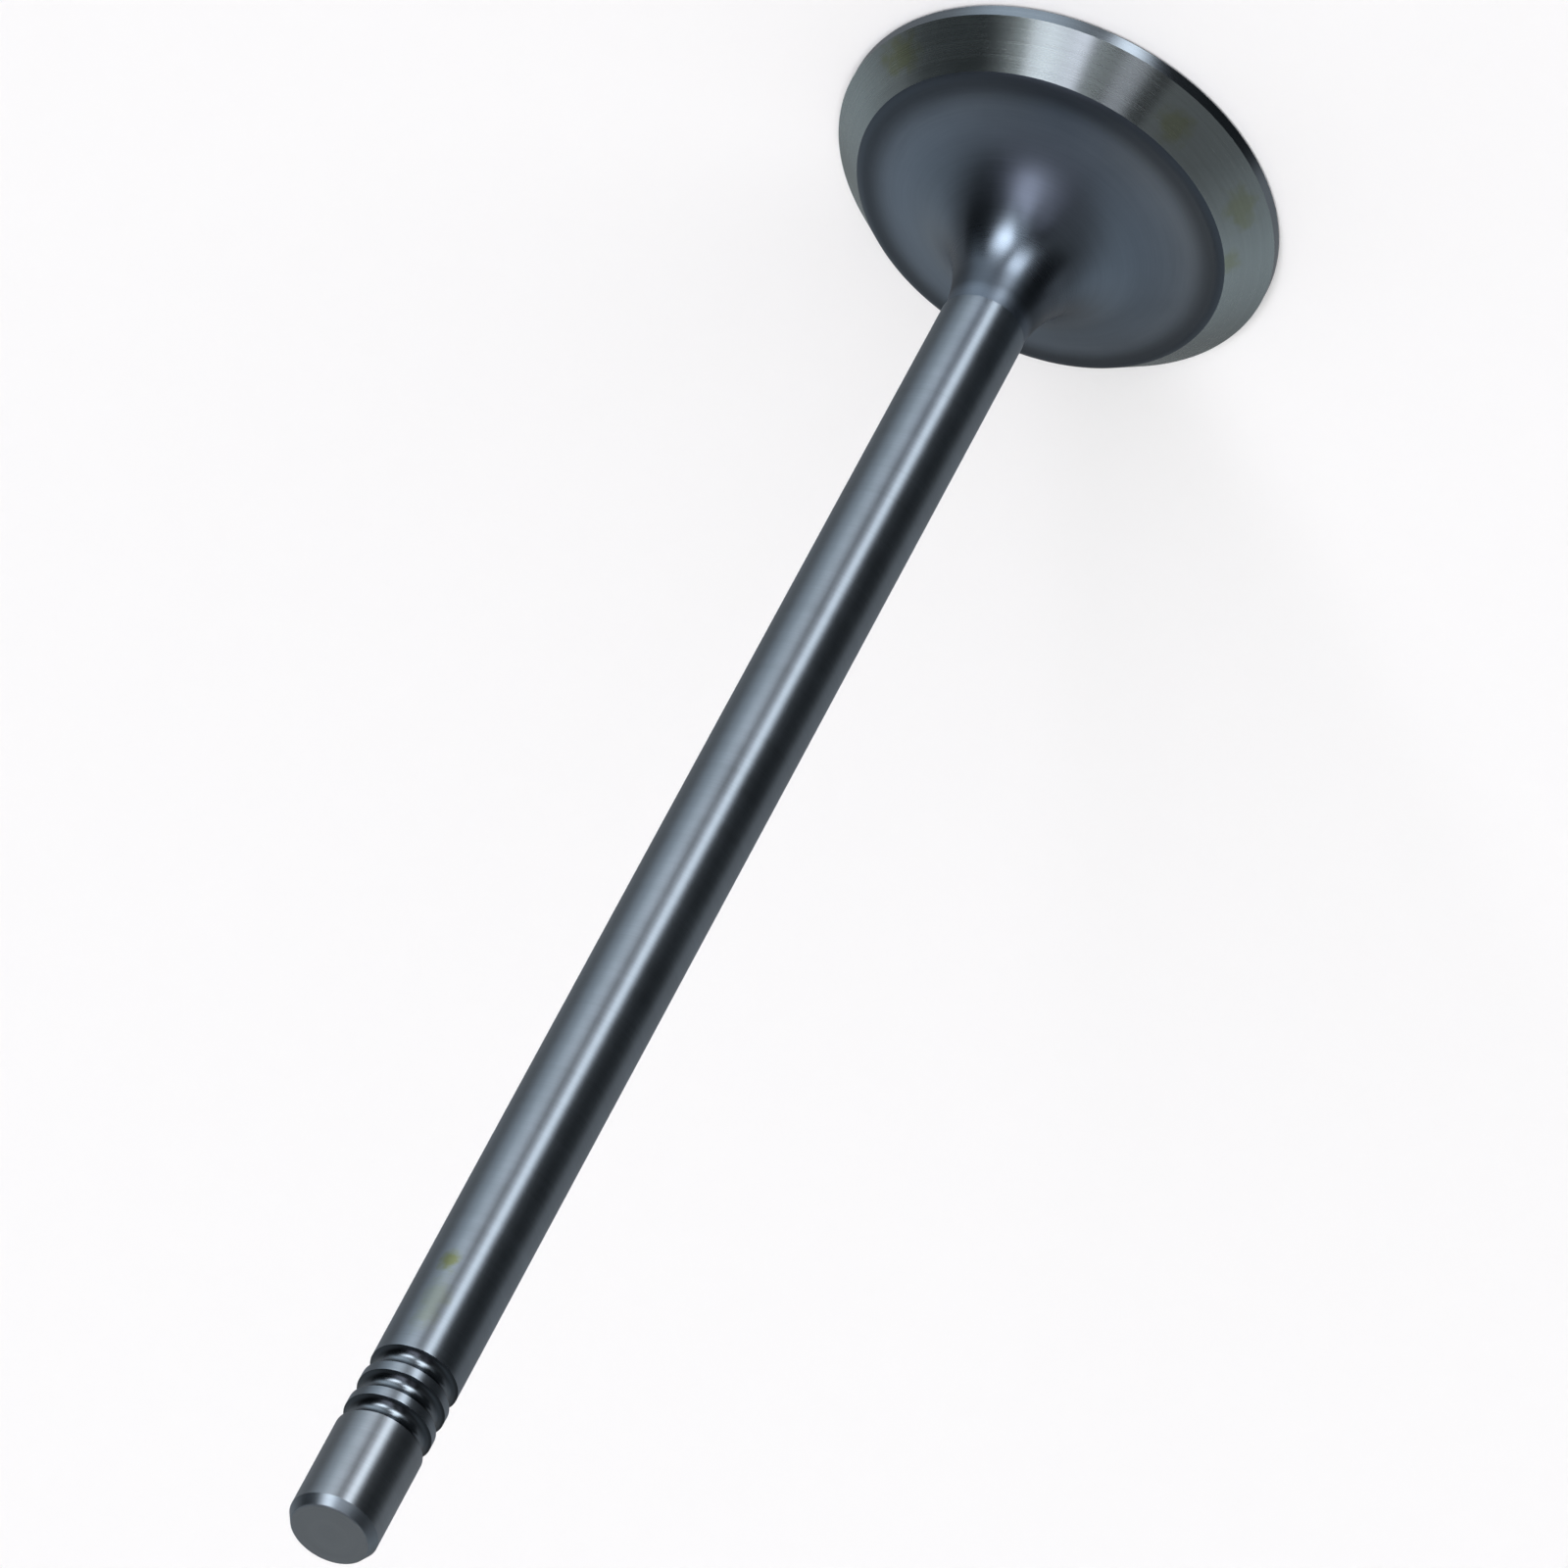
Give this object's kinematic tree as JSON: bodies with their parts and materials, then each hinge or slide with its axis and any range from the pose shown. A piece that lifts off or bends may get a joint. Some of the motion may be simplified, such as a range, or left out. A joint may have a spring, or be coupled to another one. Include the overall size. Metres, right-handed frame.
{
  "type": "engine valve",
  "caption": "Poppet valve for an engine: long ground stem with round keeper grooves and a bevelled tip, trumpet neck and a wide head with a conical seat face.",
  "frame": {"origin": "centre of the flat combustion face", "axes": "+Z along the stem, from the head towards the tip; the part is round, so X and Y are free"},
  "size_m": [0.042, 0.042, 0.171],
  "materials": {
    "valve_steel": "ground stem, seat and margin, satin forged underhead and neck"
  },
  "bodies": {
    "root": {"valve": "valve_steel"}
  },
  "joints": []
}
